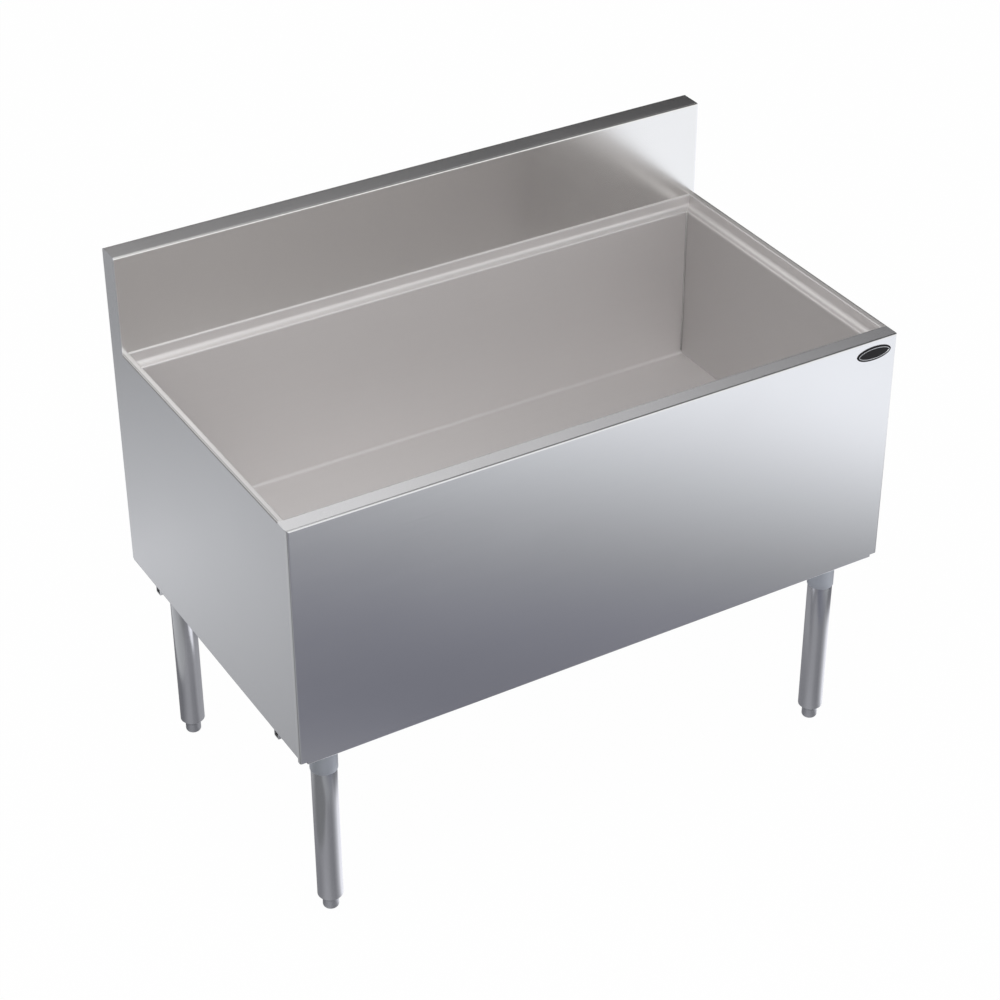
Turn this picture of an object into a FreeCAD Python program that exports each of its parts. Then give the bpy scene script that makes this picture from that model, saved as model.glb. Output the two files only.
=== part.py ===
import FreeCAD, Part
import math
import os

# Free-standing stainless underbar ice bin with a backsplash, on four tubular legs.
# Millimetres. X runs along the front, Y from the front to the wall, Z up from the floor.
# The origin is on the floor, in the middle of the bin seen from above.

# Outer sizes
overallWidth = 1066.8
overallDepth = 605.0
rimHeight = 773.5
splashHeight = 940.4
splashDepth = 41.6
frontBottom = 349.4
sideBottom = 361.0

# Sheet metal
sheet = 1.2
outerBend = 3.0
flangeBend = 2.2
rimBend = 2.5
sideReturn = 8.0
hemDepth = 27.0
hemCornerGap = 13.0
hemCornerRise = 6.0
rimShadowGap = 1.0
lipDrop = 10.0
bottomFlange = 20.0
splashBackLip = 20.0
seamGap = 0.3

# Recess for sliding covers, and the ice well below it
frontBandDepth = 30.5
sideRimWidth = 10.5
ledgeDrop = 23.0
ledgeWidth = 12.5
coveRadius = 8.0
ledgeBend = 3.0
wellDepth = 304.8
floorCove = 6.0
rearFlange = 12.0

# Drain
drainFlangeRadius = 40.0
drainFlangeThick = 1.8
drainOutletRadius = 24.15
drainOutletLength = 45.0
drainTailRadius = 25.0
drainBore = 20.45
drainTailEnd = 310.0
drainFit = 0.3
strainerSeatWidth = 1.6
strainerSeatDrop = 5.0
locknutThick = 12.0
locknutWidth = 8.0
strainerThick = 2.0
strainerSlotWidth = 3.0
strainerSlotPitch = 7.0
strainerSlotCount = 5
strainerSlotMargin = 4.0
drainWellHalf = 52.0

# Cross rails under the pan
railSheet = 2.0
railCrown = 28.0
railFlange = 18.0
railBend = 2.0
railEndInset = 1.5
frontRailSetback = 71.0
rearRailInset = 102.0

# Leg plates and sockets
legPlateThick = 3.0
legPlateWidth = 84.0
legPlateBend = 3.0
legPlateFrontInset = 10.0
legPlateRearInset = 2.5
legPlateOverRail = 14.0
legPlateTopFlange = 22.0
socketFlangeSide = 60.0
socketFlangeThick = 2.5
socketFlangeCorner = 6.0
socketLength = 77.0
socketWall = 1.2
socketFit = 0.15

# Legs and feet
legSideInset = 65.6
frontLegSetback = 58.0
rearLegInset = 35.0
legTubeRadius = 20.65
legTubeWall = 1.5
legTubeTopGap = 0.4
legTubeBottom = 27.0
plugLength = 25.0
threadFit = 0.05
footGap = 0.3
footTopRadius = 19.5
footNeckRadius = 13.0
footNeckHeight = 19.0
footStemRadius = 6.35
footStemLength = 65.0

# Places worked out from the sizes
halfWidth = overallWidth / 2
frontY = -overallDepth / 2
backY = frontY + overallDepth
splashFaceY = backY - splashDepth
ledgeZ = rimHeight - ledgeDrop
floorZ = rimHeight - wellDepth
bandRearY = frontY + frontBandDepth
recessFrontY = bandRearY - sheet
wellFrontY = recessFrontY + ledgeWidth
recessRearY = splashFaceY - rimBend
wellRearY = recessRearY - ledgeWidth
recessHalf = halfWidth - sideRimWidth
wellHalf = recessHalf - ledgeWidth
panZ = sideBottom + sheet
drainY = (wellFrontY + wellRearY) / 2
frontRailY = frontY + frontRailSetback
rearRailY = backY - rearRailInset
frontLegY = frontY + frontLegSetback
rearLegY = backY - rearLegInset
legX = halfWidth - legSideInset
legPlateZ = frontBottom - legPlateThick
socketFlangeZ = legPlateZ - socketFlangeThick
socketMouthZ = legPlateZ - socketLength

vector = FreeCAD.Vector
up = vector(0, 0, 1)


def block(x0, x1, y0, y1, z0, z1):
    return Part.makeBox(x1 - x0, y1 - y0, z1 - z0, vector(x0, y0, z0))


def bothSides(shape):
    return [shape, shape.mirror(vector(0, 0, 0), vector(1, 0, 0))]


def cutAll(shape, tools):
    for tool in tools:
        shape = shape.cut(tool)
    return shape


def planPrism(points, z0, z1):
    corners = [vector(x, y, z0) for x, y in points]
    outline = Part.makePolygon(corners + corners[:1])
    return Part.Face(outline).extrude(vector(0, 0, z1 - z0))


def turned(points, x, y):
    """Solid of revolution from (radius, height) points, about a vertical axis at x, y."""
    corners = [vector(x + radius, y, height) for radius, height in points]
    outline = Part.makePolygon(corners + corners[:1])
    return Part.Face(outline).revolve(vector(x, y, 0), up, 360)


def offsetPath(points, distance):
    """The open path moved to its left by distance, corner by corner."""
    moved = []
    last = len(points) - 1
    for index, point in enumerate(points):
        before = points[max(index - 1, 0)]
        here = points[max(index - 1, 0) + 1]
        after = points[min(index, last - 1) + 1]
        start = points[min(index, last - 1)]
        inward = (here - before).normalize()
        outward = (after - start).normalize()
        normalIn = vector(-inward.y, inward.x, 0)
        normalOut = vector(-outward.y, outward.x, 0)
        bisector = normalIn + normalOut
        moved.append(point + bisector * (2 * distance / bisector.dot(bisector)))
    return moved


def roundedPath(points, radii):
    """Straight runs joined by tangent arcs, one radius for each inner corner, 0 for a sharp one."""
    edges = []
    start = points[0]
    for index, radius in enumerate(radii):
        corner = points[index + 1]
        if radius == 0:
            edges.append(Part.LineSegment(start, corner).toShape())
            start = corner
            continue
        inward = (corner - points[index]).normalize()
        outward = (points[index + 2] - corner).normalize()
        halfTurn = inward.getAngle(outward) / 2
        reach = radius * math.tan(halfTurn)
        arcStart = corner - inward * reach
        arcEnd = corner + outward * reach
        toCentre = (outward - inward).normalize()
        middle = corner + toCentre * (radius / math.cos(halfTurn) - radius)
        edges.append(Part.LineSegment(start, arcStart).toShape())
        edges.append(Part.Arc(arcStart, middle, arcEnd).toShape())
        start = arcEnd
    edges.append(Part.LineSegment(start, points[-1]).toShape())
    return edges


def bentSheet(path, radii, thickness, plane, low, high):
    """Sheet bent along a path of (across, height) points and run from low to high.

    The path and the radii belong to the face that shows. The thickness lies to the left
    of the path, or to its right when negative. A bend no wider than the sheet is sharp
    inside. The plane is "YZ" or "XZ".
    """
    face = [vector(u, v, 0) for u, v in path]
    back = offsetPath(face, thickness)
    backRadii = []
    for index, radius in enumerate(radii):
        bend = (face[index + 1] - face[index]).cross(face[index + 2] - face[index + 1]).z
        side = 1 if bend * thickness > 0 else -1
        backRadii.append(max(radius - side * abs(thickness), 0))
    edges = roundedPath(face, radii)
    edges += roundedPath(back, backRadii)
    edges.append(Part.LineSegment(face[0], back[0]).toShape())
    edges.append(Part.LineSegment(face[-1], back[-1]).toShape())
    section = Part.Face(Part.Wire(Part.__sortEdges__(edges)))
    if plane == "YZ":
        turn = FreeCAD.Rotation(vector(1, 1, 1), 120)
        start = vector(low, 0, 0)
        run = vector(high - low, 0, 0)
    else:
        turn = FreeCAD.Rotation(vector(1, 0, 0), 90)
        start = vector(0, low, 0)
        run = vector(0, high - low, 0)
    section.Placement = FreeCAD.Placement(start, turn)
    return section.extrude(run)


def filletWhere(shape, radius, test):
    edges = [e for e in shape.Edges if all(test(v.Point) for v in e.Vertexes)]
    return shape.makeFillet(radius, edges)


def near(a, b):
    return abs(a - b) < 1e-6


def cabinetBlock(inset):
    """Rounded block of the front panel: front edges, and the band's inner top edge."""
    y0 = frontY + inset
    y1 = bandRearY - inset
    z1 = rimHeight - inset
    shape = block(inset - halfWidth, halfWidth - inset, y0, y1, frontBottom + inset, z1)
    shape = filletWhere(shape, outerBend - inset, lambda p: near(p.y, y0))
    return filletWhere(shape, rimBend - inset, lambda p: near(p.y, y1) and near(p.z, z1))


def makeFrontPanel():
    """Skin with the flat rim band, its turned-down lip, side returns and bottom hem."""
    shell = cabinetBlock(0).cut(cabinetBlock(sheet))
    lipBottom = rimHeight - lipDrop
    bandFlatY = bandRearY - rimBend
    beyond = halfWidth + 1
    openBack = block(-beyond, beyond, frontY + hemDepth, bandRearY + 1, frontBottom - 1, lipBottom)
    cornerPoints = [
        (recessHalf, bandRearY),
        (recessHalf + rimBend, bandFlatY),
        (beyond, bandFlatY),
        (beyond, bandRearY + 1),
        (recessHalf, bandRearY + 1),
    ]
    bandCorner = planPrism(cornerPoints, frontBottom, rimHeight + 1)
    wallX = halfWidth - sheet
    sideWall = block(wallX, beyond, frontY + sideReturn, bandRearY + 1, frontBottom - 1, rimHeight - sheet)
    shadowTop = rimHeight - sheet
    shadow = block(wallX, beyond, frontY + outerBend, bandRearY, shadowTop - rimShadowGap, shadowTop)
    notchX = halfWidth - hemCornerGap
    notchTop = frontBottom + hemCornerRise
    notch = block(notchX, beyond, frontY - 1, bandRearY, frontBottom - 1, notchTop)
    tools = [openBack]
    for tool in (bandCorner, sideWall, shadow, notch):
        tools += bothSides(tool)
    return cutAll(shell, tools)


def makeSidePanel():
    """Right end panel: an L that also closes the end of the backsplash."""
    shelfZ = rimHeight - sheet
    path = [
        (halfWidth - sideRimWidth + rimBend, shelfZ),
        (halfWidth, shelfZ),
        (halfWidth, sideBottom),
        (halfWidth - bottomFlange, sideBottom),
    ]
    lower = bentSheet(path, [flangeBend, flangeBend], -sheet, "XZ", frontY + sideReturn, splashFaceY)
    rearPath = [(halfWidth, shelfZ)] + path[2:]
    flangeEndY = backY - outerBend
    rear = bentSheet(rearPath, [flangeBend], -sheet, "XZ", splashFaceY, flangeEndY)
    heel = block(halfWidth - sheet, halfWidth, flangeEndY, backY, sideBottom + outerBend, shelfZ)
    wing = block(halfWidth - sheet, halfWidth, splashFaceY, backY, shelfZ, splashHeight)
    wing = filletWhere(wing, outerBend, lambda p: near(p.z, splashHeight) and near(p.y, splashFaceY))
    wing = filletWhere(wing, outerBend, lambda p: near(p.z, splashHeight) and near(p.y, backY))
    return lower.multiFuse([rear, heel, wing]).removeSplitter()


def makeBackPanel():
    path = [
        (backY, splashHeight - splashBackLip),
        (backY, sideBottom),
        (backY - bottomFlange, sideBottom),
    ]
    half = halfWidth - sheet
    panel = bentSheet(path, [outerBend], -sheet, "YZ", -half, half)
    notchX = halfWidth - bottomFlange - seamGap
    notch = block(notchX, halfWidth, backY - bottomFlange - 1, backY + 1, sideBottom - 1, sideBottom + outerBend)
    return cutAll(panel, bothSides(notch))


def makeBacksplash():
    """Upright face that stands on the rim, with a flat top turned back and down."""
    path = [
        (splashFaceY, rimHeight),
        (splashFaceY, splashHeight),
        (backY, splashHeight),
        (backY, splashHeight - splashBackLip),
    ]
    half = halfWidth - sheet
    return bentSheet(path, [outerBend, outerBend], -sheet, "YZ", -half, half)


def drainWell(z0, z1):
    """Square way round the drain, through the pan and the foam."""
    half = drainWellHalf
    return block(-half, half, drainY - half, drainY + half, z0, z1)


def makeBottomPan():
    half = halfWidth - flangeBend
    pan = block(-half, half, frontY + sheet + seamGap, backY - outerBend, panZ, panZ + sheet)
    return pan.cut(drainWell(panZ, panZ + sheet))


def wellCorners(reach):
    """Plan of the front and rear mitres, widened by reach outside the well."""
    return [
        (wellHalf, wellFrontY),
        (wellHalf + reach, wellFrontY - reach),
        (wellHalf + reach, wellRearY + reach),
        (wellHalf, wellRearY),
    ]


def makeLinerWrap():
    """Front wall, floor and rear wall of the well, with the two cover ledges."""
    path = [
        (recessFrontY, rimHeight - rimBend),
        (recessFrontY, ledgeZ),
        (wellFrontY, ledgeZ),
        (wellFrontY, floorZ),
        (wellRearY, floorZ),
        (wellRearY, ledgeZ),
        (recessRearY, ledgeZ),
        (recessRearY, rimHeight),
        (splashFaceY + rearFlange, rimHeight),
    ]
    radii = [coveRadius, ledgeBend, floorCove, floorCove, ledgeBend, coveRadius, rimBend]
    half = recessHalf + sheet
    wrap = bentSheet(path, radii, -sheet, "YZ", -half, half)
    mitre = planPrism(wellCorners(2 * sideRimWidth + ledgeWidth), floorZ - 2 * sheet, rimHeight + 1)
    wrap = cutAll(wrap, bothSides(mitre))
    holeRadius = drainTailRadius + drainFit
    return wrap.cut(Part.makeCylinder(holeRadius, 3 * sheet, vector(0, drainY, floorZ - 2 * sheet)))


def makeLinerEnd():
    """Right end wall of the well with its cover ledge and the side rim."""
    path = [
        (halfWidth, rimHeight),
        (recessHalf, rimHeight),
        (recessHalf, ledgeZ),
        (wellHalf, ledgeZ),
        (wellHalf, floorZ - sheet),
    ]
    bandFlatY = bandRearY - rimBend
    end = bentSheet(path, [rimBend, coveRadius, ledgeBend], sheet, "XZ", bandFlatY, splashFaceY)
    keep = planPrism(wellCorners(2 * sideRimWidth + ledgeWidth), floorZ - 2 * sheet, rimHeight + 1)
    lipPoints = [
        (wellHalf, bandRearY),
        (recessHalf, bandRearY),
        (recessHalf + rimBend, bandFlatY),
        (recessHalf + rimBend, frontY),
        (wellHalf, frontY),
    ]
    lipZone = planPrism(lipPoints, rimHeight - lipDrop, rimHeight + 1)
    return end.common(keep).cut(lipZone)


def makeFoam():
    """Rigid foam that fills the space between the well and the cabinet."""
    half = halfWidth - sheet - seamGap
    bottom = panZ + sheet
    top = ledgeZ - ledgeBend
    foam = block(-half, half, frontY + outerBend, backY - outerBend, bottom, top)
    cavityHalf = wellHalf + sheet
    cavity = block(-cavityHalf, cavityHalf, wellFrontY - sheet, wellRearY + sheet, floorZ - sheet, top)
    return cutAll(foam, [cavity, drainWell(bottom, top)])


def makeDrainBody():
    """Flange, threaded tail and outlet in one casting, with a seat for the strainer inside."""
    seatZ = floorZ - strainerSeatDrop
    flangeTop = floorZ + drainFlangeThick
    outletTop = drainTailEnd + drainOutletLength
    seatRadius = drainBore + strainerSeatWidth
    points = [
        (drainFlangeRadius, floorZ),
        (drainTailRadius, floorZ),
        (drainTailRadius, outletTop),
        (drainOutletRadius, outletTop),
        (drainOutletRadius, drainTailEnd),
        (drainBore, drainTailEnd),
        (drainBore, seatZ),
        (seatRadius, seatZ),
        (seatRadius, flangeTop),
        (drainFlangeRadius, flangeTop),
    ]
    return turned(points, 0, drainY)


def hexPrism(width, height, x, y, z):
    corners = []
    for step in range(6):
        angle = math.radians(60 * step)
        reach = width / 2 / math.cos(math.radians(30))
        corners.append((x + reach * math.cos(angle), y + reach * math.sin(angle)))
    return planPrism(corners, z, z + height)


def makeLocknut():
    inner = drainTailRadius + threadFit
    bottom = floorZ - sheet - locknutThick
    nut = hexPrism(2 * (inner + locknutWidth), locknutThick, 0, drainY, bottom)
    return nut.cut(Part.makeCylinder(inner, locknutThick, vector(0, drainY, bottom)))


def makeStrainer():
    """Loose slotted disc that drops on the seat in the drain."""
    bottom = floorZ - strainerSeatDrop
    top = bottom + strainerThick
    radius = drainBore + strainerSeatWidth - drainFit
    disc = Part.makeCylinder(radius, strainerThick, vector(0, drainY, bottom))
    slots = []
    for index in range(strainerSlotCount):
        offset = (index - (strainerSlotCount - 1) / 2) * strainerSlotPitch
        y0 = drainY + offset - strainerSlotWidth / 2
        half = math.sqrt((radius - strainerSlotMargin) ** 2 - offset ** 2)
        slots.append(block(-half, half, y0, y0 + strainerSlotWidth, bottom, top))
    return cutAll(disc, slots)


def makeRail(y):
    """Hat-section rail under the pan, with its crown level with the front hem."""
    half = railCrown / 2
    brim = panZ - railSheet
    path = [
        (y - half - railFlange, brim),
        (y - half, brim),
        (y - half, frontBottom),
        (y + half, frontBottom),
        (y + half, brim),
        (y + half + railFlange, brim),
    ]
    innerBend = railBend - railSheet
    end = halfWidth - railEndInset
    rail = bentSheet(path, [innerBend, railBend, railBend, innerBend], railSheet, "YZ", -end, end)
    flangeX = halfWidth - bottomFlange
    relief = block(flangeX, halfWidth, y - half - railFlange, y + half + railFlange, sideBottom, panZ)
    return cutAll(rail, bothSides(relief))


def makeFrontLegPlate(x):
    """Flat plate that ties the front hem to the front rail and carries a socket."""
    half = legPlateWidth / 2
    rearEdge = frontRailY + railCrown / 2 + legPlateOverRail
    return block(x - half, x + half, frontY + legPlateFrontInset, rearEdge, legPlateZ, frontBottom)


def makeRearLegPlate(x):
    """Plate from the rear rail to the back panel, bent up and forward under its flange."""
    half = legPlateWidth / 2
    frontEdge = rearRailY - railCrown / 2 - legPlateOverRail
    rearEdge = backY - legPlateRearInset
    path = [
        (frontEdge, legPlateZ),
        (rearEdge, legPlateZ),
        (rearEdge, sideBottom),
        (rearEdge - legPlateTopFlange, sideBottom),
    ]
    return bentSheet(path, [legPlateBend, legPlateBend], legPlateThick, "YZ", x - half, x + half)


def makeSocket(x, y):
    """Sleeve welded to a square flange with clipped corners."""
    bore = legTubeRadius + socketFit
    half = socketFlangeSide / 2
    clipped = half - socketFlangeCorner
    corners = []
    for signX, signY in ((1, 1), (-1, 1), (-1, -1), (1, -1)):
        sides = [(half * signX, clipped * signY), (clipped * signX, half * signY)]
        if signX != signY:
            sides.reverse()
        corners += [(x + u, y + v) for u, v in sides]
    flange = planPrism(corners, socketFlangeZ, legPlateZ)
    sleeve = Part.makeCylinder(bore + socketWall, socketLength, vector(x, y, socketMouthZ))
    socket = flange.fuse(sleeve).removeSplitter()
    return socket.cut(Part.makeCylinder(bore, socketLength, vector(x, y, socketMouthZ)))


def makeLegTube(x, y):
    """Tube with the threaded plug that is pressed into its lower end."""
    top = legPlateZ - legTubeTopGap
    inner = legTubeRadius - legTubeWall
    plugTop = legTubeBottom + plugLength
    tube = Part.makeCylinder(legTubeRadius, top - legTubeBottom, vector(x, y, legTubeBottom))
    hollow = Part.makeCylinder(inner, top - plugTop, vector(x, y, plugTop))
    thread = Part.makeCylinder(footStemRadius + threadFit, plugLength, vector(x, y, legTubeBottom))
    return cutAll(tube, [hollow, thread])


def makeBulletFoot(x, y):
    """Bullet foot: a neck, a flare up to the tube and a threaded stem."""
    flareTop = legTubeBottom - footGap
    profile = [
        (0, 0),
        (footNeckRadius, 0),
        (footNeckRadius, footNeckHeight),
        (footTopRadius, flareTop),
        (footStemRadius, flareTop),
        (footStemRadius, flareTop + footStemLength),
        (0, flareTop + footStemLength),
    ]
    return turned(profile, x, y)


def save(name, shape):
    shape.exportStep(os.path.join("parts", name + ".step"))


def saveBothSides(name, shape):
    right, left = bothSides(shape)
    save(name + "_right", right)
    save(name + "_left", left)


save("front_panel", makeFrontPanel())
saveBothSides("side_panel", makeSidePanel())
save("back_panel", makeBackPanel())
save("backsplash", makeBacksplash())
save("bottom_pan", makeBottomPan())
save("liner_wrap", makeLinerWrap())
saveBothSides("liner_end", makeLinerEnd())
save("foam_insulation", makeFoam())
save("drain_body", makeDrainBody())
save("drain_locknut", makeLocknut())
save("drain_strainer", makeStrainer())
save("front_rail", makeRail(frontRailY))
save("rear_rail", makeRail(rearRailY))
saveBothSides("leg_plate_front", makeFrontLegPlate(legX))
saveBothSides("leg_plate_rear", makeRearLegPlate(legX))

for row, y in (("front", frontLegY), ("rear", rearLegY)):
    save("leg_sockets_" + row, Part.makeCompound(bothSides(makeSocket(legX, y))))
    saveBothSides("leg_tube_" + row, makeLegTube(legX, y))
    saveBothSides("bullet_foot_" + row, makeBulletFoot(legX, y))
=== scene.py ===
import bmesh
import bpy
import math
from mathutils import Matrix, Vector


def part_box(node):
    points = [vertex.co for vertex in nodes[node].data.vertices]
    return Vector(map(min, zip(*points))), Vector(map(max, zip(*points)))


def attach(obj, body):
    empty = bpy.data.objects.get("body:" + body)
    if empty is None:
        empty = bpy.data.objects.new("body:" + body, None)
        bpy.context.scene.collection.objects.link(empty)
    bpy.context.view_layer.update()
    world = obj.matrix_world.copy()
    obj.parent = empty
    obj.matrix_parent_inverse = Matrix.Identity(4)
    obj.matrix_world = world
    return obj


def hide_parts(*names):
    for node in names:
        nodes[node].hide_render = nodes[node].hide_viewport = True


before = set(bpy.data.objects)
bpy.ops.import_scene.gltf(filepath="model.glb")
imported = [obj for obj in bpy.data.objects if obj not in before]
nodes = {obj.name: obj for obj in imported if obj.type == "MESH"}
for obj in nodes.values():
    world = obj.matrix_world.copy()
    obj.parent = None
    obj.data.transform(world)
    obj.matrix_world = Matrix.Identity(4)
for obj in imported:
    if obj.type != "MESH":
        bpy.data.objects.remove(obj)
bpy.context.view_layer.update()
places = ["front_left", "front_right", "rear_left", "rear_right"]
print("frame loaded with", len(nodes), "nodes")


# camera, as the photograph sees the bin
cameraLook = {
    "place": (-1.7544, -2.9439, 2.7694),
    "azimuth": -30.64,
    "elevation": 33.87,
    "roll": -0.13,
    "lens": 91.33,
    "sensor": 36.0,
    "reach": 60.0,
}


def addCamera(look):
    azimuth = math.radians(look["azimuth"])
    elevation = math.radians(look["elevation"])
    flat = math.cos(elevation)
    back = Vector((math.sin(azimuth) * flat, -math.cos(azimuth) * flat, math.sin(elevation)))
    turn = back.to_track_quat("Z", "Y").to_matrix() @ Matrix.Rotation(math.radians(look["roll"]), 3, "Z")
    bpy.ops.object.camera_add(location=look["place"], rotation=turn.to_euler())
    camera = bpy.context.object
    camera.data.lens = look["lens"]
    camera.data.sensor_width = look["sensor"]
    camera.data.clip_end = look["reach"]
    bpy.context.scene.camera = camera


addCamera(cameraLook)
bpy.context.scene.view_settings.view_transform = "Standard"
print("camera placed")


# shader helper: a socket that takes part in Python sums
class Wire:
    def __init__(self, tree, socket=None):
        self.tree = tree
        self.socket = socket

    # any node: its settings go in first, then the values or links of its sockets
    def add(self, kind, settings=None, inputs=None, out=0):
        node = self.tree.nodes.new(kind)
        for name, value in (settings or {}).items():
            if name == "stops":
                ramp = node.color_ramp
                while len(ramp.elements) < len(value):
                    ramp.elements.new(0.5)
                for element, (position, level) in zip(ramp.elements, value):
                    element.position = position
                    element.color = (level, level, level, 1)
            else:
                setattr(node, name, value)
        for name, value in (inputs or {}).items():
            if isinstance(value, Wire):
                self.tree.links.new(value.socket, node.inputs[name])
            else:
                node.inputs[name].default_value = value
        return Wire(self.tree, node.outputs[out])

    def other(self, name):
        return Wire(self.tree, self.socket.node.outputs[name])

    def calc(self, operation, first, second=0.0):
        return self.add("ShaderNodeMath", {"operation": operation}, {0: first, 1: second})

    def __add__(self, value):
        return self.calc("ADD", self, value)

    def __radd__(self, value):
        return self.calc("ADD", value, self)

    def __sub__(self, value):
        return self.calc("SUBTRACT", self, value)

    def __rsub__(self, value):
        return self.calc("SUBTRACT", value, self)

    def __mul__(self, value):
        return self.calc("MULTIPLY", self, value)

    def __rmul__(self, value):
        return self.calc("MULTIPLY", value, self)

    def __truediv__(self, value):
        return self.calc("DIVIDE", self, value)

    def __pow__(self, value):
        return self.calc("POWER", self, value)

    def most(self, value):
        return self.calc("MAXIMUM", self, value)

    def least(self, value):
        return self.calc("MINIMUM", self, value)

    # smooth step of this value from 0 at low to 1 at high
    def between(self, low, high):
        return self.add("ShaderNodeMapRange", {"interpolation_type": "SMOOTHSTEP"},
                        {"Value": self, "From Min": low, "From Max": high})

    def stretched(self, x, y, z):
        return self.add("ShaderNodeVectorMath", {"operation": "MULTIPLY"}, {0: self, 1: (x, y, z)})

    def noise(self, scale, detail=2.0, rough=0.5):
        return self.add("ShaderNodeTexNoise", None,
                        {"Vector": self, "Scale": scale, "Detail": detail, "Roughness": rough})

    # two colours mixed by this value
    def tint(self, first, second, blend="MIX"):
        return self.add("ShaderNodeMix", {"data_type": "RGBA", "blend_type": blend},
                        {0: self, 6: first, 7: second}, out=2)


def startMaterial(name):
    material = bpy.data.materials.new(name)
    material.use_nodes = True
    material.node_tree.nodes.clear()
    return material, Wire(material.node_tree)


def onObject(graph):
    return graph.add("ShaderNodeTexCoord", out="Object")


def closeMaterial(graph, shader):
    output = graph.tree.nodes.new("ShaderNodeOutputMaterial")
    graph.tree.links.new(shader.socket, output.inputs["Surface"])


def hue(color, level=1.0):
    return (color[0] * level, color[1] * level, color[2] * level, 1)


# the surface itself: sockets of the Principled shader, and a bump that follows a height
def coat(graph, sockets, height, strength, distance):
    bump = graph.add("ShaderNodeBump", None, {"Strength": strength, "Distance": distance, "Height": height})
    closeMaterial(graph, graph.add("ShaderNodeBsdfPrincipled", None, {**sockets, "Normal": bump}))


edgeLook = {"samples": 6, "starts": 0.004, "full": 0.12}


# 1 along sharp edges, 0 on the flats
def edgeMask(graph, width):
    rounded = graph.add("ShaderNodeBevel", {"samples": edgeLook["samples"]}, {"Radius": width})
    flat = graph.add("ShaderNodeNewGeometry", out="Normal")
    facing = graph.add("ShaderNodeVectorMath", {"operation": "DOT_PRODUCT"},
                       {0: rounded, 1: flat}, out="Value")
    return (1 - facing).between(edgeLook["starts"], edgeLook["full"])


# steel finishes
def brushedSteel(name, look):
    material, graph = startMaterial(name)
    place = onObject(graph)
    long, across = look["grainLong"], look["grainAcross"]
    scales = {"X": (long, across, across), "Y": (across, long, across), "Z": (across, across, long)}
    scales = scales[look["grain"]]
    hairs = place.stretched(*scales).noise(1.0, 3.0, 0.6)
    strands = place.stretched(*[scale * look["strandScale"] for scale in scales]).noise(1.0, 4.0, 0.55)
    cloud = place.noise(look["cloud"], 5.0, 0.55)
    wipe = place.noise(look["cloud"] * look["wipeScale"], 2.0, 0.4)
    edges = edgeMask(graph, look["edgeWidth"])
    smudge = cloud.between(*look["smudgeFrom"])
    shade = ((hairs - 0.5) * look["hairShade"] + (strands - 0.5) * look["strandShade"]
             + (wipe - 0.5) * look["wipeShade"])
    base = (shade + 0.5).tint(hue(look["color"], look["dark"]), hue(look["color"], look["light"]))
    worn = (edges * look["edgeWear"]).tint(base, hue(look["color"], look["wornLight"]))
    color = (smudge * look["smudge"]).tint(worn, hue(look["color"], look["smudgeDark"]))
    # painted highlight: the cover ledge of the far end is made brighter than its darkened wall
    if "ledgePaintedHighlight" in look:  # the cover ledge of the far end is a little brighter than its wall
        height = graph.add("ShaderNodeSeparateXYZ", None, {"Vector": place}, out="Z")
        ledge = height.between(*look["ledgePaintedHighlightFrom"])
        color = ledge.tint(color, hue((1, 1, 1), look["ledgePaintedHighlight"]), "MULTIPLY")
    rough = (look["rough"] + (hairs - 0.5) * look["hairRough"] + (strands - 0.5) * look["strandRough"]
             + smudge * look["smudgeRough"] - edges * look["edgePolish"])
    sockets = {"Base Color": color, "Metallic": 1.0, "Roughness": rough.most(look["leastRough"])}
    relief = hairs * look["hairHeight"] + strands * look["strandHeight"]
    coat(graph, sockets, relief, look["bump"], look["relief"])
    return material


steelLooks = {
    "frontSteel": {"color": (0.790, 0.792, 0.800), "grain": "X", "rough": 0.22},
    "sideSteel": {"color": (0.785, 0.790, 0.806), "grain": "Y", "rough": 0.23},
    "splashSteel": {"color": (0.850, 0.845, 0.834), "grain": "X", "rough": 0.20},
    "wellSteel": {"color": (0.790, 0.772, 0.768), "grain": "X", "rough": 0.56, "edgeWear": 0.0},
    "wellEndSteel": {"color": (0.750, 0.738, 0.736), "grain": "Y", "rough": 0.50, "edgeWear": 0.0},
    # painted shade: the far (right) end of the well is a darker copy of the well steel, standing in for the
    # shade on that wall
    "wellFarSteel": {"color": (0.530, 0.515, 0.511), "grain": "Y", "rough": 0.66, "edgeWear": 0.0,
                     "ledgePaintedHighlight": 1.20, "ledgePaintedHighlightFrom": (0.7440, 0.7485)},
    "backSteel": {"color": (0.680, 0.686, 0.695), "grain": "X", "rough": 0.34, "smudge": 0.25, "bump": 0.5},
    "legSteel": {"color": (0.720, 0.728, 0.745), "grain": "Z", "rough": 0.17, "strandShade": 0.30},
    "socketSteel": {"color": (0.650, 0.680, 0.725), "grain": "Z", "rough": 0.52, "strandShade": 0.12},
    "footSteel": {"color": (0.610, 0.620, 0.638), "grain": "Z", "rough": 0.28},
    "boltSteel": {"color": (0.620, 0.620, 0.628), "grain": "Z", "rough": 0.33, "grainLong": 300.0},
    "strainerSteel": {"color": (0.760, 0.762, 0.766), "grain": "X", "rough": 0.20},
    # dark seam colour: real dark joints in the well corners, and painted shadow in the strip under the side
    # rims
    "seamSteel": {"color": (0.430, 0.420, 0.416), "grain": "Z", "rough": 0.45, "grainLong": 400.0,
                  "smudge": 0.3},
}
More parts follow.
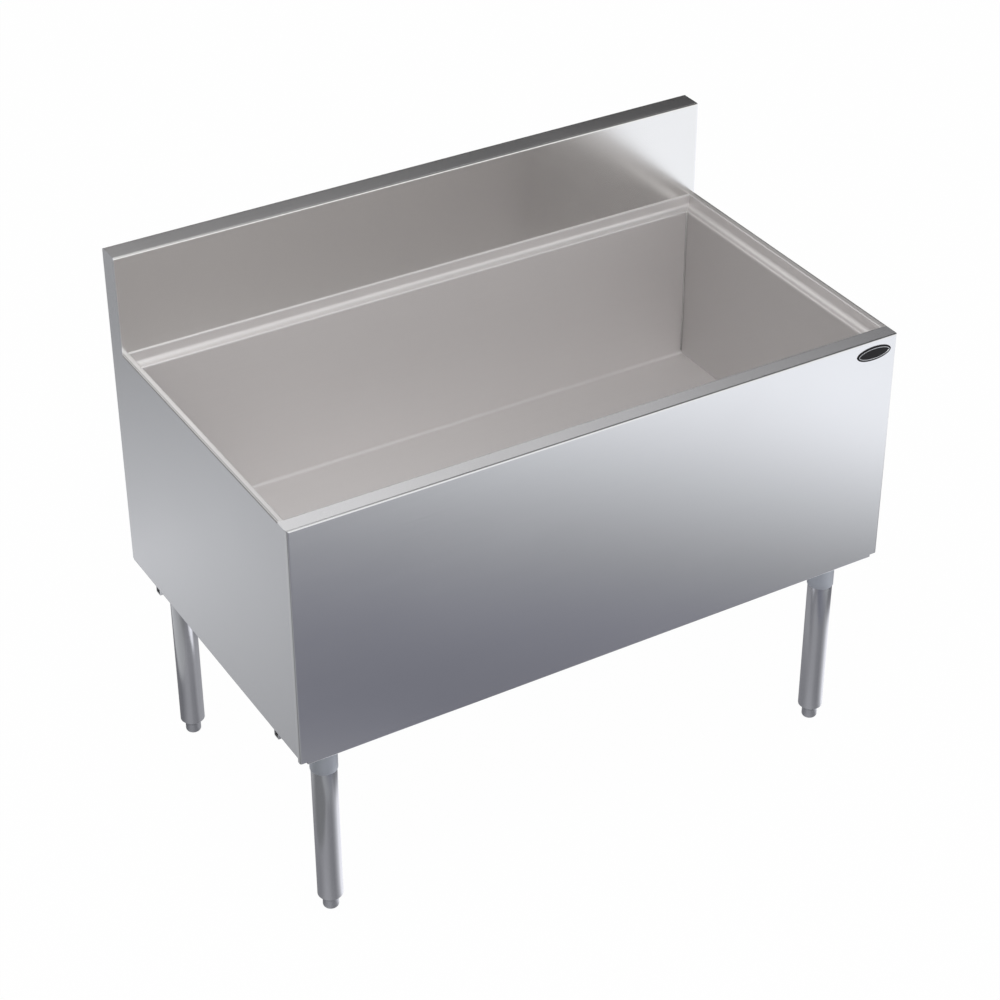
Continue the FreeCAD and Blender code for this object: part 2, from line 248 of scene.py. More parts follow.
steelCommon = {
    "grainLong": 5.0, "grainAcross": 1300.0, "strandScale": 0.12, "cloud": 3.0, "wipeScale": 0.3,
    "hairShade": 0.16, "strandShade": 0.05, "wipeShade": 0.06, "dark": 0.86, "light": 1.14,
    "edgeWidth": 0.0016, "edgeWear": 0.6, "wornLight": 1.22, "edgePolish": 0.05,
    "smudge": 0.05, "smudgeFrom": (0.35, 0.85), "smudgeDark": 0.82, "smudgeRough": 0.03,
    "hairRough": 0.06, "strandRough": 0.03, "leastRough": 0.08, "hairHeight": 0.6, "strandHeight": 0.4,
    "bump": 0.3, "relief": 0.00002,
}
finishes = {name: brushedSteel(name, {**steelCommon, **look}) for name, look in steelLooks.items()}


# plated brass, foam and black enamel
def platedBrass(look):
    material, graph = startMaterial("platedBrass")
    cast = onObject(graph).noise(look["castScale"], 4.0, 0.6)
    worn = (edgeMask(graph, look["edgeWidth"]) * cast.between(*look["wearFrom"])) * look["wear"]
    plate = (cast * 0.5).tint(hue(look["plate"]), hue(look["plate"], look["castDark"]))
    color = worn.tint(plate, hue(look["brass"]))
    sockets = {"Base Color": color, "Metallic": 1.0, "Roughness": look["rough"] + cast * look["castRough"]}
    coat(graph, sockets, cast, look["bump"], look["relief"])
    return material


def rigidFoam(look):
    material, graph = startMaterial("rigidFoam")
    place = onObject(graph)
    cells = graph.add("ShaderNodeTexVoronoi", None, {"Vector": place, "Scale": look["cells"]})
    skin = place.noise(look["skin"], 5.0, 0.6)
    color = (cells * 0.4 + skin * 0.5).tint(hue(look["color"]), hue(look["color"], look["dark"]))
    sockets = {"Base Color": color, "Roughness": look["rough"] + skin * look["skinRough"]}
    coat(graph, sockets, cells + skin * 0.8, look["bump"], look["relief"])
    return material


def blackEnamel(look):
    material, graph = startMaterial("blackEnamel")
    place = onObject(graph)
    peel = place.noise(look["peel"], 2.0, 0.5)
    dust = place.noise(look["dust"], 4.0, 0.7).between(*look["dustFrom"])
    color = (dust * look["dustShare"]).tint(hue(look["color"]), hue(look["dustColor"]))
    rough = look["rough"] + dust * look["dustRough"]
    sockets = {"Base Color": color, "Roughness": rough, "Specular IOR Level": look["specular"]}
    coat(graph, sockets, peel, look["bump"], look["relief"])
    return material


# weld metal: ripples follow the bead, read from its own UV map
def weldMetal(look):
    material, graph = startMaterial("weldMetal")
    along = graph.add("ShaderNodeSeparateXYZ", None, {"Vector": graph.add("ShaderNodeTexCoord", out="UV")})
    grit = onObject(graph).noise(look["grit"], 3.0, 0.6)
    ripple = graph.calc("SINE", along * look["ripples"] + grit * 2.0) * 0.5 + 0.5
    dark, light = hue(look["color"], look["dark"]), hue(look["color"], look["light"])
    color = (ripple * 0.5 + grit * 0.4).tint(dark, light)
    straw = (grit.between(*look["strawFrom"]) * look["strawShare"]).tint(color, hue(look["straw"]))
    sockets = {"Base Color": straw, "Metallic": 1.0, "Roughness": look["rough"] + grit * look["gritRough"]}
    coat(graph, sockets, ripple, look["bump"], look["relief"])
    return material


finishes["platedBrass"] = platedBrass({
    "plate": (0.60, 0.60, 0.60), "brass": (0.72, 0.52, 0.25), "castScale": 140.0, "castDark": 0.8,
    "wear": 0.5, "wearFrom": (0.40, 0.62), "edgeWidth": 0.0008, "rough": 0.22, "castRough": 0.16,
    "bump": 0.3, "relief": 0.00005})
finishes["rigidFoam"] = rigidFoam({
    "color": (0.78, 0.70, 0.48), "dark": 0.72, "cells": 420.0, "skin": 22.0, "rough": 0.86,
    "skinRough": 0.1, "bump": 0.7, "relief": 0.0006})
finishes["blackEnamel"] = blackEnamel({
    "color": (0.012, 0.012, 0.014), "peel": 900.0, "dust": 260.0, "dustFrom": (0.58, 0.78),
    "dustShare": 0.35, "dustColor": (0.10, 0.10, 0.11), "rough": 0.30, "dustRough": 0.25,
    "specular": 0.15, "bump": 0.25, "relief": 0.00005})
finishes["weldMetal"] = weldMetal({
    "color": (0.54, 0.53, 0.52), "dark": 0.8, "light": 1.2, "ripples": 520.0, "grit": 500.0,
    "straw": (0.52, 0.42, 0.28), "strawFrom": (0.5, 0.7), "strawShare": 0.35, "rough": 0.34,
    "gritRough": 0.2, "bump": 0.8, "relief": 0.0004})

nodeFinishes = {
    "front_panel": "frontSteel", "side_panel_left": "sideSteel", "side_panel_right": "sideSteel",
    "back_panel": "backSteel", "backsplash": "splashSteel", "bottom_pan": "backSteel",
    # the far end of the well takes the darker copy of the well steel: painted shade
    "liner_wrap": "wellSteel", "liner_end_left": "wellEndSteel", "liner_end_right": "wellFarSteel",
    "foam_insulation": "rigidFoam", "front_rail": "backSteel", "rear_rail": "backSteel",
}
for place in places:
    nodeFinishes["leg_plate_" + place] = "backSteel"
for name, finish in nodeFinishes.items():
    for slot in nodes[name].material_slots:
        slot.material = finishes[finish]
print("finishes made:", len(finishes))


# modelling helpers
def leaveEdit():
    bpy.ops.object.mode_set(mode="OBJECT")


def clearSelection():
    if bpy.context.mode != "OBJECT":
        leaveEdit()
    bpy.ops.object.select_all(action="DESELECT")


def choose(piece):
    clearSelection()
    piece.select_set(True)
    bpy.context.view_layer.objects.active = piece


def editPiece(piece, kind="FACE"):
    choose(piece)
    bpy.ops.object.mode_set(mode="EDIT")
    bpy.ops.mesh.select_mode(type=kind)
    bpy.ops.mesh.select_all(action="DESELECT")


def pickParts(piece, kind, test):
    bpy.ops.mesh.select_all(action="DESELECT")
    mesh = bmesh.from_edit_mesh(piece.data)
    for part in getattr(mesh, kind):
        if test(part):
            part.select = True
    mesh.select_flush_mode()
    bmesh.update_edit_mesh(piece.data)


def pickFaces(piece, test):
    pickParts(piece, "faces", lambda face: test(face.calc_center_median(), face.normal))


def pickEdges(piece, test):
    pickParts(piece, "edges", lambda edge: test(edge.verts[0].co, edge.verts[1].co))


def pickUprights(piece, shortest=0.001):
    pickEdges(piece, lambda a, b: abs(a.z - b.z) > shortest)


def bevelPicked(offset, segments):
    bpy.ops.mesh.bevel(offset=offset, offset_type="OFFSET", segments=segments)


def settle(piece, angle=35):
    choose(piece)
    bpy.ops.object.transform_apply(location=True, rotation=True, scale=True)
    bpy.ops.object.shade_smooth_by_angle(angle=math.radians(angle))
    return piece


def applyModifier(piece, kind, **settings):
    choose(piece)
    modifier = piece.modifiers.new(kind.lower(), kind)
    for name, value in settings.items():
        setattr(modifier, name, value)
    bpy.ops.object.modifier_apply(modifier=modifier.name)


def combine(piece, other, operation):
    applyModifier(piece, "BOOLEAN", operation=operation, object=other, solver="EXACT")
    bpy.data.objects.remove(other)


def weldOn(piece, other):
    combine(piece, other, "UNION")


def cutAway(piece, cutter):
    combine(piece, cutter, "DIFFERENCE")


def addBox(middle, size):
    clearSelection()
    bpy.ops.mesh.primitive_cube_add(size=1, location=middle)
    box = bpy.context.object
    box.scale = size
    return settle(box)


def addBlock(low, high):
    low, high = Vector(low), Vector(high)
    return addBox((low + high) / 2, high - low)


def addRod(sides, radius, depth, middle, turn=0.0):
    clearSelection()
    bpy.ops.mesh.primitive_cylinder_add(vertices=sides, radius=radius, depth=depth, location=middle,
                                        rotation=(0, 0, turn))
    return bpy.context.object


# radius of a hexagon's corners, from its width across the flats
def hexCorner(across):
    return across / 2 / math.cos(math.radians(30))


def joinPieces(main, others):
    choose(main)
    for part in others:
        part.select_set(True)
    bpy.ops.object.join()
    return main


def copyPiece(piece, name, shift):
    choose(piece)
    bpy.ops.object.duplicate_move(TRANSFORM_OT_translate={"value": shift})
    twin = bpy.context.object
    bpy.ops.object.transform_apply(location=True, rotation=False, scale=False)
    twin.name = name
    return twin


def dress(piece, finish, body):
    piece.data.materials.clear()
    piece.data.materials.append(finishes[finish])
    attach(piece, body)


# merges doubles, fills open ends of up to so many sides (0 for any), and turns the faces outwards
def closeShell(merge, endSides=None):
    bpy.ops.mesh.select_all(action="SELECT")
    bpy.ops.mesh.remove_doubles(threshold=merge)
    if endSides is not None:
        bpy.ops.mesh.fill_holes(sides=endSides)
    bpy.ops.mesh.select_all(action="SELECT")
    bpy.ops.mesh.normals_make_consistent(inside=False)
    leaveEdit()


# rings of (radius, height) drawn one from the next round a vertical axis
def turnedPiece(name, rings, sides, axis=(0.0, 0.0), closed=False):
    clearSelection()
    bpy.ops.mesh.primitive_circle_add(vertices=sides, radius=rings[0][0], location=(*axis, rings[0][1]))
    piece = bpy.context.object
    piece.name = name
    bpy.ops.object.transform_apply(location=True, rotation=False, scale=False)
    bpy.ops.object.mode_set(mode="EDIT")
    bpy.ops.mesh.select_mode(type="EDGE")
    bpy.ops.mesh.select_all(action="SELECT")
    for before, after in zip(rings, rings[1:] + (rings[:1] if closed else [])):
        bpy.ops.mesh.extrude_edges_move(TRANSFORM_OT_translate={"value": (0, 0, after[1] - before[1])})
        growth = after[0] / before[0]
        bpy.ops.transform.resize(value=(growth, growth, 1), center_override=(*axis, after[1]))
    closeShell(0.000002, None if closed else 0)
    return piece


# rounded corner of a turned profile, from one point to the next round a centre
def arcRings(centre, radius, first, last, steps):
    rings = []
    for step in range(steps + 1):
        angle = math.radians(first + (last - first) * step / steps)
        rings.append((centre[0] + radius * math.cos(angle), centre[1] + radius * math.sin(angle)))
    return rings


toothLook = {"sink": 0.0004, "crestFrom": 0.36, "crestTo": 0.56, "rootFrom": 0.92}


# a helical thread: a closed tooth section swept by a screw modifier, with capped ends
def threadPiece(name, look, axis, bottom):
    clearSelection()
    bpy.ops.mesh.primitive_plane_add(size=1, location=(0, 0, 0))
    piece = bpy.context.object
    piece.name = name
    pitch, root, crest = look["pitch"], look["root"], look["crest"]
    inner = root - toothLook["sink"]
    section = [(inner, 0.0), (crest, pitch * toothLook["crestFrom"]), (crest, pitch * toothLook["crestTo"]),
               (inner, pitch * toothLook["rootFrom"])]
    bpy.ops.object.mode_set(mode="EDIT")
    bpy.ops.mesh.select_all(action="SELECT")
    bpy.ops.mesh.delete(type="ONLY_FACE")
    leaveEdit()
    for index, corner in zip((0, 1, 3, 2), section):
        piece.data.vertices[index].co = (corner[0], 0, corner[1])
    applyModifier(piece, "SCREW", axis="Z", angle=2 * math.pi, screw_offset=pitch, iterations=look["turns"],
                  steps=look["steps"], render_steps=look["steps"])
    editPiece(piece, "VERT")
    closeShell(0.000001, len(section))
    piece.location = (*axis, bottom)
    return settle(piece, 30)


legX = 0.4678
legY = {"front": -0.2445, "rear": 0.2675}


def legPlace(place):
    row, side = place.split("_")
    return (legX if side == "right" else -legX), legY[row]


# models a piece on the front left leg and copies it to the other three
def forEachLeg(makeFirst):
    firstX, firstY = legPlace(places[0])
    made = {places[0]: makeFirst((firstX, firstY))}
    for place in places[1:]:
        x, y = legPlace(place)
        stem = made[places[0]].name.replace(places[0], place)
        made[place] = copyPiece(made[places[0]], stem, (x - firstX, y - firstY, 0))
    return made


# leg tubes
tubeLook = {"radius": 0.02065, "wall": 0.0015, "bottom": 0.027, "top": 0.346, "rim": 0.0006, "sides": 96,
            "plug": 0.025, "thread": 0.0064, "lead": 0.0012, "groove": (-0.0004, -0.0001, 0.0002),
            "grooveDeep": 0.0003}


def makeTube(axis):
    look = tubeLook
    outer, inner = look["radius"], look["radius"] - look["wall"]
    bottom, top, rim = look["bottom"], look["top"], look["rim"]
    thread, lead, groove = look["thread"], look["lead"], look["groove"]
    rings = [(thread, bottom + lead), (thread + lead, bottom), (inner + groove[0], bottom),
             (inner + groove[1], bottom + look["grooveDeep"]), (inner + groove[2], bottom)]
    rings += arcRings((outer - rim, bottom + rim), rim, -90, 0, 4)
    rings += arcRings((outer - rim, top - rim), rim, 0, 90, 3)
    rings += [(inner, top), (inner, bottom + look["plug"]), (thread, bottom + look["plug"])]
    tube = turnedPiece("tube_front_left", rings, look["sides"], axis, closed=True)
    return settle(tube, 40)


for place, tube in forEachLeg(makeTube).items():
    dress(tube, "legSteel", "bin")
    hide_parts("leg_tube_" + place)
print("leg tubes made")


# sockets: a sleeve through a bolted flange, with a weld bead round it
socketLook = {"mouth": 0.2829, "flangeBottom": 0.3439, "flangeTop": 0.3464, "half": 0.030, "corner": 0.006,
              "flangeEdge": 0.0004, "flangeGap": 0.0006, "flangeCut": 0.02, "bore": 0.0208, "wall": 0.0012,
              "lip": 0.0008, "ring": 0.012, "bead": 0.0021, "beadSides": 12, "beadTop": 0.0012, "sides": 96}


def makeSleeve(axis):
    look = socketLook
    bore, outer = look["bore"], look["bore"] + look["wall"]
    mouth, top, lip = look["mouth"], look["flangeTop"], look["lip"]
    rings = [(bore, top), (bore, mouth + lip)]
    rings += arcRings((bore + look["wall"] / 2, mouth + look["wall"] / 2), look["wall"] / 2, 180, 360, 6)
    rings += [(outer, mouth + look["ring"]), (outer, top)]
    return turnedPiece("socket_front_left", rings, look["sides"], axis, closed=True)


def makeFlange(axis):
    look = socketLook
    width, thick = 2 * look["half"], look["flangeTop"] - look["flangeBottom"]
    middle = (look["flangeBottom"] + look["flangeTop"]) / 2
    flange = addBox((*axis, middle), (width, width, thick))
    editPiece(flange, "EDGE")
    pickUprights(flange)
    bevelPicked(look["corner"], 1)
    pickEdges(flange, lambda a, b: a.z < middle and b.z < middle)
    bevelPicked(look["flangeEdge"], 2)
    leaveEdit()
    hole = addRod(look["sides"], look["bore"] + look["flangeGap"], look["flangeCut"], (*axis, middle))
    cutAway(flange, hole)
    return flange


def makeSocket(axis):
    return settle(joinPieces(makeSleeve(axis), [makeFlange(axis)]), 40)


def makeBead(axis):
    look = socketLook
    clearSelection()
    bpy.ops.mesh.primitive_torus_add(
        major_radius=look["bore"] + look["wall"], minor_radius=look["bead"], major_segments=look["sides"],
        minor_segments=look["beadSides"], location=(*axis, look["flangeBottom"]), generate_uvs=True)
    bead = bpy.context.object
    bead.name = "socket_weld_front_left"
    settle(bead)
    editPiece(bead)
    pickFaces(bead, lambda middle, normal: middle.z > look["flangeBottom"] + look["beadTop"])
    bpy.ops.mesh.delete(type="FACE")
    bpy.ops.mesh.select_all(action="SELECT")
    bpy.ops.mesh.fill_holes(sides=0)
    leaveEdit()
    return settle(bead, 60)


for place, socket in forEachLeg(makeSocket).items():
    dress(socket, "socketSteel", "bin")
    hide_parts("leg_sockets_" + place.split("_")[0])
for bead in forEachLeg(makeBead).values():
    dress(bead, "weldMetal", "bin")
print("sockets made")


# hex bolts with washers, four to a flange, and a set screw in the sleeve
boltLook = {"spread": 0.0215, "core": 0.0015, "washerRadius": 0.0056, "washerThick": 0.0010,
            "washerEdge": 0.0002, "washerSides": 32, "headAcross": 0.0100, "headThick": 0.0038,
            "headEdge": 0.0003, "crownIn": 0.0007, "crownOut": 0.0004}


def makeBolt(axis, seat):
    look = boltLook
    ring, core, edge, thick = look["washerRadius"], look["core"], look["washerEdge"], look["headThick"]
    low = seat - look["washerThick"]
    rings = [(core, low), (ring - edge, low), (ring, low + edge), (ring, seat), (core, seat)]
    washer = turnedPiece("washer", rings, look["washerSides"], axis)
    head = settle(addRod(6, hexCorner(look["headAcross"]), thick, (*axis, low - thick / 2)))
    editPiece(head)
    pickFaces(head, lambda middle, normal: normal.z < -0.9)
    bpy.ops.mesh.inset(thickness=look["crownIn"])
    bpy.ops.mesh.extrude_region_move(TRANSFORM_OT_translate={"value": (0, 0, -look["crownOut"])})
    pickUprights(head)
    bevelPicked(look["headEdge"], 2)
    leaveEdit()
    return joinPieces(washer, [head])


def makeBoltSet(axis):
    spread = boltLook["spread"]
    first = makeBolt((axis[0] - spread, axis[1] - spread), socketLook["flangeBottom"])
    settle(first, 30)
    twins = [copyPiece(first, "bolt", (dx, dy, 0))
             for dx, dy in ((2 * spread, 0), (0, 2 * spread), (2 * spread, 2 * spread))]
    bolts = joinPieces(first, twins)
    bolts.name = "socket_bolts_front_left"
    return bolts


screwLook = {"radius": 0.0040, "core": 0.001, "proud": 0.0030, "round": 0.0006, "sunk": 0.0006,
             "socket": 0.0021, "deep": 0.0022, "height": 0.3120, "sides": 36}


# set screw in the rear of a sleeve, with its hexagon socket outwards
def makeSetScrew(axis):
    look = screwLook
    radius, core, proud, corner = look["radius"], look["core"], look["proud"], look["round"]
    rings = [(core, 0.0), (radius, 0.0)]
    rings += arcRings((radius - corner, proud - corner), corner, 0, 90, 3) + [(core, proud)]
    screw = turnedPiece("socket_screw_front_left", rings, look["sides"])
    cutAway(screw, addRod(6, look["socket"], 2 * look["deep"], (0, 0, proud)))
    screw.rotation_euler = (math.radians(-90), 0, 0)
    behind = axis[1] + socketLook["bore"] + socketLook["wall"] - look["sunk"]
    screw.location = (axis[0], behind, look["height"])
    return settle(screw, 30)


for fastener in list(forEachLeg(makeBoltSet).values()) + list(forEachLeg(makeSetScrew).values()):
    dress(fastener, "boltSteel", "bin")
print("bolts and set screws made")


# bullet feet: rounded tip, neck, flare and a threaded stem
footLook = {"core": 0.001, "tip": 0.005, "neck": 0.013, "neckTop": 0.019, "neckEdge": 0.001,
            "neckStep": 0.0004, "flare": 0.0195, "flareEdge": (0.0003, 0.0006), "top": 0.0267,
            "stem": 0.0055, "stemTop": 0.0917, "stemEdge": 0.001, "threadGap": 0.0008, "sides": 72}
stemThread = {"root": 0.0055, "crest": 0.00635, "pitch": 0.00195, "turns": 32, "steps": 28}


def makeFoot(axis):
    look = footLook
    tip, neck, neckTop, flare, top = look["tip"], look["neck"], look["neckTop"], look["flare"], look["top"]
    stem, stemTop, stemEdge = look["stem"], look["stemTop"], look["stemEdge"]
    sideEdge, topEdge = look["flareEdge"]
    rings = [(look["core"], 0.0)] + arcRings((neck - tip, tip), tip, -90, 0, 8)
    rings += [(neck, neckTop - look["neckEdge"]), (neck + look["neckStep"], neckTop)]
    rings += [(flare - sideEdge, top - topEdge), (flare - topEdge, top)]
    rings += [(stem, top), (stem, stemTop - stemEdge), (stem - stemEdge, stemTop)]
    foot = turnedPiece("foot_front_left", rings, look["sides"], axis)
    thread = threadPiece("stem", stemThread, axis, top + look["threadGap"])
    return settle(joinPieces(foot, [thread]), 40)


for place, foot in forEachLeg(makeFoot).items():
    dress(foot, "footSteel", "foot_" + place)
    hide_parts("bullet_foot_" + place)
print("feet made")


# drain: flanged body, locknut and slotted strainer
drainLook = {
    "axis": (0.0, -0.0074), "floor": 0.4687, "bottom": 0.310, "sides": 128,
    "flange": 0.040, "flangeRound": 0.0009, "flangeRim": 0.006, "flangeFall": 0.0001, "flangeTop": 0.4705,
    "seat": 0.02205, "seatEdge": 0.0015, "seatRound": 0.0010, "seatTop": 0.4637,
    "bore": 0.02045, "boreEdge": 0.0006,
    "outlet": 0.02415, "outletTooth": 0.0009, "outletEdge": 0.0007, "outletTop": 0.355,
    "tail": 0.025, "tailTooth": 0.0010, "collar": 0.0012,
    "pitch": 0.0022, "turns": (18, 48), "starts": (0.0015, 0.0010), "steps": 64,
}


def makeDrain(look):
    axis, floor, top, bottom = look["axis"], look["floor"], look["flangeTop"], look["bottom"]
    flange, corner, seat, seatRound = look["flange"], look["flangeRound"], look["seat"], look["seatRound"]
    bore, boreEdge, tail, collar = look["bore"], look["boreEdge"], look["tail"], look["collar"]
    outletRoot, tailRoot = look["outlet"] - look["outletTooth"], tail - look["tailTooth"]
    rings = arcRings((flange - corner, floor + corner), corner, -90, 60, 5)
    rings += [(flange - look["flangeRim"], top - look["flangeFall"]), (seat + look["seatEdge"], top)]
    rings += arcRings((seat + seatRound, top - seatRound), seatRound, 90, 180, 4)
    rings += [(seat, look["seatTop"]), (bore, look["seatTop"])]
    rings += [(bore, bottom + boreEdge), (bore + boreEdge, bottom)]
    rings += [(outletRoot - look["outletEdge"], bottom), (outletRoot, bottom + look["outletEdge"])]
    rings += [(outletRoot, look["outletTop"]), (tailRoot, look["outletTop"])]
    rings += [(tailRoot, floor - collar), (tail, floor - collar), (tail, floor)]
    pieces = [turnedPiece("drain", rings, look["sides"], axis, closed=True)]
    crests, bases = (look["outlet"], tail), (bottom, look["outletTop"])
    for index, root in enumerate((outletRoot, tailRoot)):
        thread = {"root": root, "crest": crests[index], "pitch": look["pitch"], "turns": look["turns"][index],
                  "steps": look["steps"]}
        pieces.append(threadPiece("thread", thread, axis, bases[index] + look["starts"][index]))
    return settle(joinPieces(pieces[0], pieces[1:]), 40)


locknutLook = {"bottom": 0.4555, "top": 0.4675, "gap": 0.00005, "width": 0.008, "face": 0.0012,
               "edge": 0.0010, "cut": 0.03, "sides": 96}


def makeLocknut(look, tail, axis):
    bottom, top = look["bottom"], look["top"]
    inner = tail + look["gap"]
    across = 2 * (inner + look["width"])
    nut = addRod(6, hexCorner(across), top - bottom, (*axis, (top + bottom) / 2), math.radians(30))
    nut.name = "locknut"
    settle(nut)
    editPiece(nut)
    pickFaces(nut, lambda middle, normal: abs(normal.z) > 0.9)
    bpy.ops.mesh.inset(thickness=look["face"])
    pickUprights(nut, 0.005)
    bevelPicked(look["edge"], 3)
    leaveEdit()
    cutAway(nut, addRod(look["sides"], inner, look["cut"], (*axis, bottom)))
    return settle(nut, 30)


strainerLook = {"radius": 0.02175, "core": 0.001, "edge": 0.0005, "bottom": 0.4637, "top": 0.4657,
                "sides": 96, "slots": 5, "pitch": 0.007, "width": 0.003, "margin": 0.004, "cut": 0.01,
                "roundShare": 0.49}


def makeStrainer(look, axis):
    radius, core, edge, bottom, top = look["radius"], look["core"], look["edge"], look["bottom"], look["top"]
    rings = [(core, bottom), (radius - edge, bottom), (radius, bottom + edge), (radius, top - edge),
             (radius - edge, top), (core, top)]
    disc = turnedPiece("strainer", rings, look["sides"], axis)
    for index in range(look["slots"]):
        offset = (index - (look["slots"] - 1) / 2) * look["pitch"]
        half = math.sqrt((radius - look["margin"]) ** 2 - offset ** 2)
        slot = addBox((axis[0], axis[1] + offset, bottom), (2 * half, look["width"], look["cut"]))
        editPiece(slot, "EDGE")
        pickUprights(slot)
        bevelPicked(look["width"] * look["roundShare"], 6)
        leaveEdit()
        cutAway(disc, slot)
    return settle(disc, 30)


drain = makeDrain(drainLook)
dress(drain, "platedBrass", "bin")
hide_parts("drain_body")
locknut = makeLocknut(locknutLook, drainLook["tail"], drainLook["axis"])
dress(locknut, "platedBrass", "bin")
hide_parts("drain_locknut")
strainer = makeStrainer(strainerLook, drainLook["axis"])
dress(strainer, "strainerSteel", "strainer")
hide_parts("drain_strainer")
print("drain made")


# nameplate, left blank: black enamel with a thin raised ring inside its rim
nameplateLook = {"place": (0.4894, -0.3025, 0.7510), "halfWide": 0.0325, "halfHigh": 0.0122, "thick": 0.0009,
                 "edge": (0.0003, 0.0002), "rim": 0.0025, "ring": 0.0006, "slope": 0.0002, "raise": 0.0002,
                 "sunk": 0.0004, "sides": 72}


def makeNameplate(look):
    clearSelection()
    bpy.ops.mesh.primitive_circle_add(vertices=look["sides"], radius=1, fill_type="NGON",
                                      location=look["place"], rotation=(math.radians(90), 0, 0))
    plate = bpy.context.object
    plate.name = "nameplate"
    plate.scale = (look["halfWide"], look["halfHigh"], 1)
    settle(plate)
    plate.data.materials.append(finishes["blackEnamel"])
    plate.data.materials.append(finishes["strainerSteel"])
    editPiece(plate)
    bpy.ops.mesh.select_all(action="SELECT")
    bpy.ops.mesh.extrude_region_move(TRANSFORM_OT_translate={"value": (0, -look["thick"], 0)})
    bpy.ops.mesh.inset(thickness=look["edge"][0], depth=look["edge"][1])
    bpy.ops.mesh.inset(thickness=look["rim"])
    bpy.ops.mesh.inset(thickness=look["slope"], depth=look["raise"])
    plate.active_material_index = 1
    bpy.ops.object.material_slot_assign()
    bpy.ops.mesh.inset(thickness=look["ring"])
    bpy.ops.mesh.inset(thickness=look["slope"], depth=-look["sunk"])
    plate.active_material_index = 0
    bpy.ops.object.material_slot_assign()
    bpy.ops.mesh.select_all(action="SELECT")
    bpy.ops.mesh.normals_make_consistent(inside=False)
    leaveEdit()
    return settle(plate, 30)


nameplate = makeNameplate(nameplateLook)
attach(nameplate, "bin")
print("nameplate made")


# cross rails: a narrow hat section under the pan, its brims cut back at the side panels
railLook = {"sheet": 0.0020, "crown": 0.0150, "bend": 0.0020, "brimHalf": 0.5134, "brimLow": 0.3610,
            "past": 0.01}
railCrowns = {"front_rail": -0.2200, "rear_rail": 0.2080}


def makeRail(look, node, crownY):
    low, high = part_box(node)
    sheet, half, past = look["sheet"], look["crown"] / 2, look["past"]
    rail = addBlock((low.x, low.y, high.z - sheet), high)
    rail.name = node.replace("_", "_cross_")
    crown = addBlock((low.x, crownY - half, low.z), (high.x, crownY + half, high.z))
    editPiece(crown, "EDGE")
    pickEdges(crown, lambda a, b: abs(a.x - b.x) > 0.1 and a.z < low.z + sheet)
    bevelPicked(look["bend"], 3)
    leaveEdit()
    weldOn(rail, crown)
    cutAway(rail, addBlock((low.x - past, crownY - half + sheet, low.z + sheet),
                           (high.x + past, crownY + half - sheet, high.z + past)))
    for side in (-1, 1):
        ends = sorted((side * look["brimHalf"], side * (high.x + past)))
        cutAway(rail, addBlock((ends[0], low.y - past, look["brimLow"]),
                               (ends[1], high.y + past, high.z + past)))
    return settle(rail, 30)


for node, crownY in railCrowns.items():
    rail = makeRail(railLook, node, crownY)
    dress(rail, "backSteel", "bin")
    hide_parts(node)
print("rails made")


# ground weld seams up the corners of the well; along the outside of both side rims a dark strip in the joint,
# partly seam and partly painted shadow of the gap under the rim
seamLook = {"half": 0.5104, "rear": 0.2459, "front": -0.2607, "low": 0.4745, "high": 0.7478, "radius": 0.0017,
            "point": (0.0003, 0.0010), "sink": 0.0005, "sides": 16}
rimSeamAndShadowLook = {"outside": 0.5334, "proud": 0.0003, "inside": 0.5311, "low": 0.7700, "high": 0.7737,
               "round": 0.0016, "front": -0.2720, "rear": 0.2600}


def makeCornerSeam(look, x, y):
    low, high, radius = look["low"], look["high"], look["radius"]
    tip, taper = look["point"]
    rings = [(tip, low - taper), (radius, low), (radius, (low + high) / 2), (radius, high),
             (tip, high + taper)]
    return turnedPiece("seam", rings, look["sides"], (x, y))


def makeWellSeam(look, name, side):
    x = side * (look["half"] - look["sink"])
    rear = makeCornerSeam(look, x, look["rear"] - look["sink"])
    front = makeCornerSeam(look, x, look["front"] + look["sink"])
    seam = joinPieces(rear, [front])
    seam.name = name
    return settle(seam, 60)


# dark strip under the side rim: partly the real joint, partly painted shadow of the gap
def makeRimSeamAndShadow(look, name, side):
    inside, outside = look["inside"], look["outside"] + look["proud"]
    front, rear, low, high = look["front"], look["rear"], look["low"], look["high"]
    middle = (side * (outside + inside) / 2, (rear + front) / 2, (high + low) / 2)
    seam = addBox(middle, (outside - inside, rear - front, high - low))
    seam.name = name
    editPiece(seam, "EDGE")
    pickEdges(seam, lambda a, b: abs(a.y - b.y) > 0.1 and side * a.x > look["outside"] and a.z > middle[2])
    bevelPicked(look["round"], 4)
    leaveEdit()
    return settle(seam, 40)


for side, word in ((-1, "left"), (1, "right")):
    for seam in (makeWellSeam(seamLook, "well_seam_" + word, side),
                 makeRimSeamAndShadow(rimSeamAndShadowLook, "rim_seam_" + word, side)):
        dress(seam, "seamSteel", "bin")
print("seams made")


# floor, reflection cards, lamps and world
stageLook = {"floorSize": 14.0, "floorHeight": -0.0004, "floorColor": (0.86, 0.86, 0.86), "floorLight": 1.03,
             "grain": 3.0, "share": 0.985, "skyLevel": 0.6}


# 1 for camera, glossy and transmission rays
def seenRays(graph):
    path = graph.add("ShaderNodeLightPath", out="Is Camera Ray")
    return (path + path.other("Is Glossy Ray") + path.other("Is Transmission Ray")).least(1.0)


